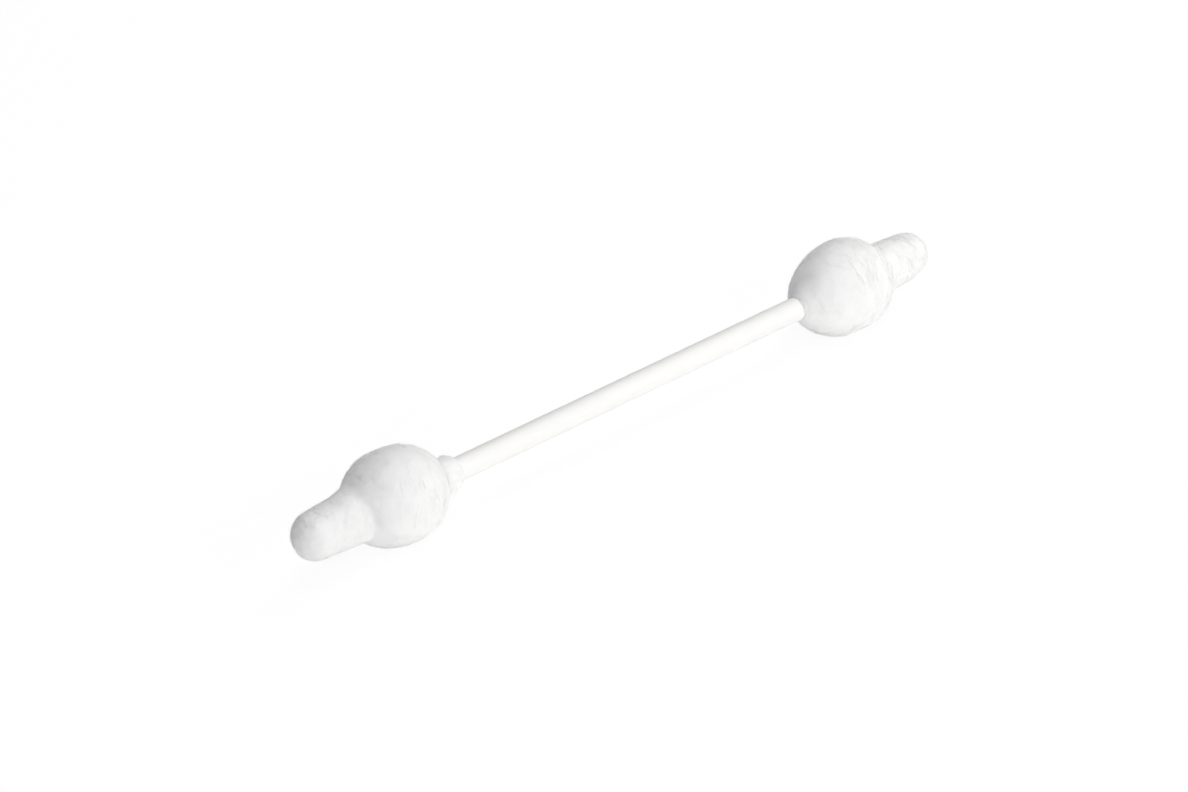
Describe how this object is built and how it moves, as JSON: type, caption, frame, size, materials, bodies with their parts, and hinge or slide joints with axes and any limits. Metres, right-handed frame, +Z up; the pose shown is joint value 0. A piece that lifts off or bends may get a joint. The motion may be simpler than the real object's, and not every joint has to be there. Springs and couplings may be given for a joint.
{
  "type": "cotton swab",
  "caption": "Double-ended safety cotton swab: a slim paper stick with a wound cotton ball and a smaller round nose at each end.",
  "frame": {"origin": "under the middle of the swab, on the surface that it lies on", "axes": "+X along the stick, from the left tip, which has the collar, to the right tip; +Z up, away from the surface"},
  "size_m": [0.076, 0.009, 0.009],
  "materials": {
    "paper": "matt, tightly rolled and smooth",
    "cotton": "soft matt wound cotton"
  },
  "bodies": {
    "root": {"paper_stick": "paper", "left_cotton_tip": "cotton", "right_cotton_tip": "cotton"}
  },
  "joints": []
}
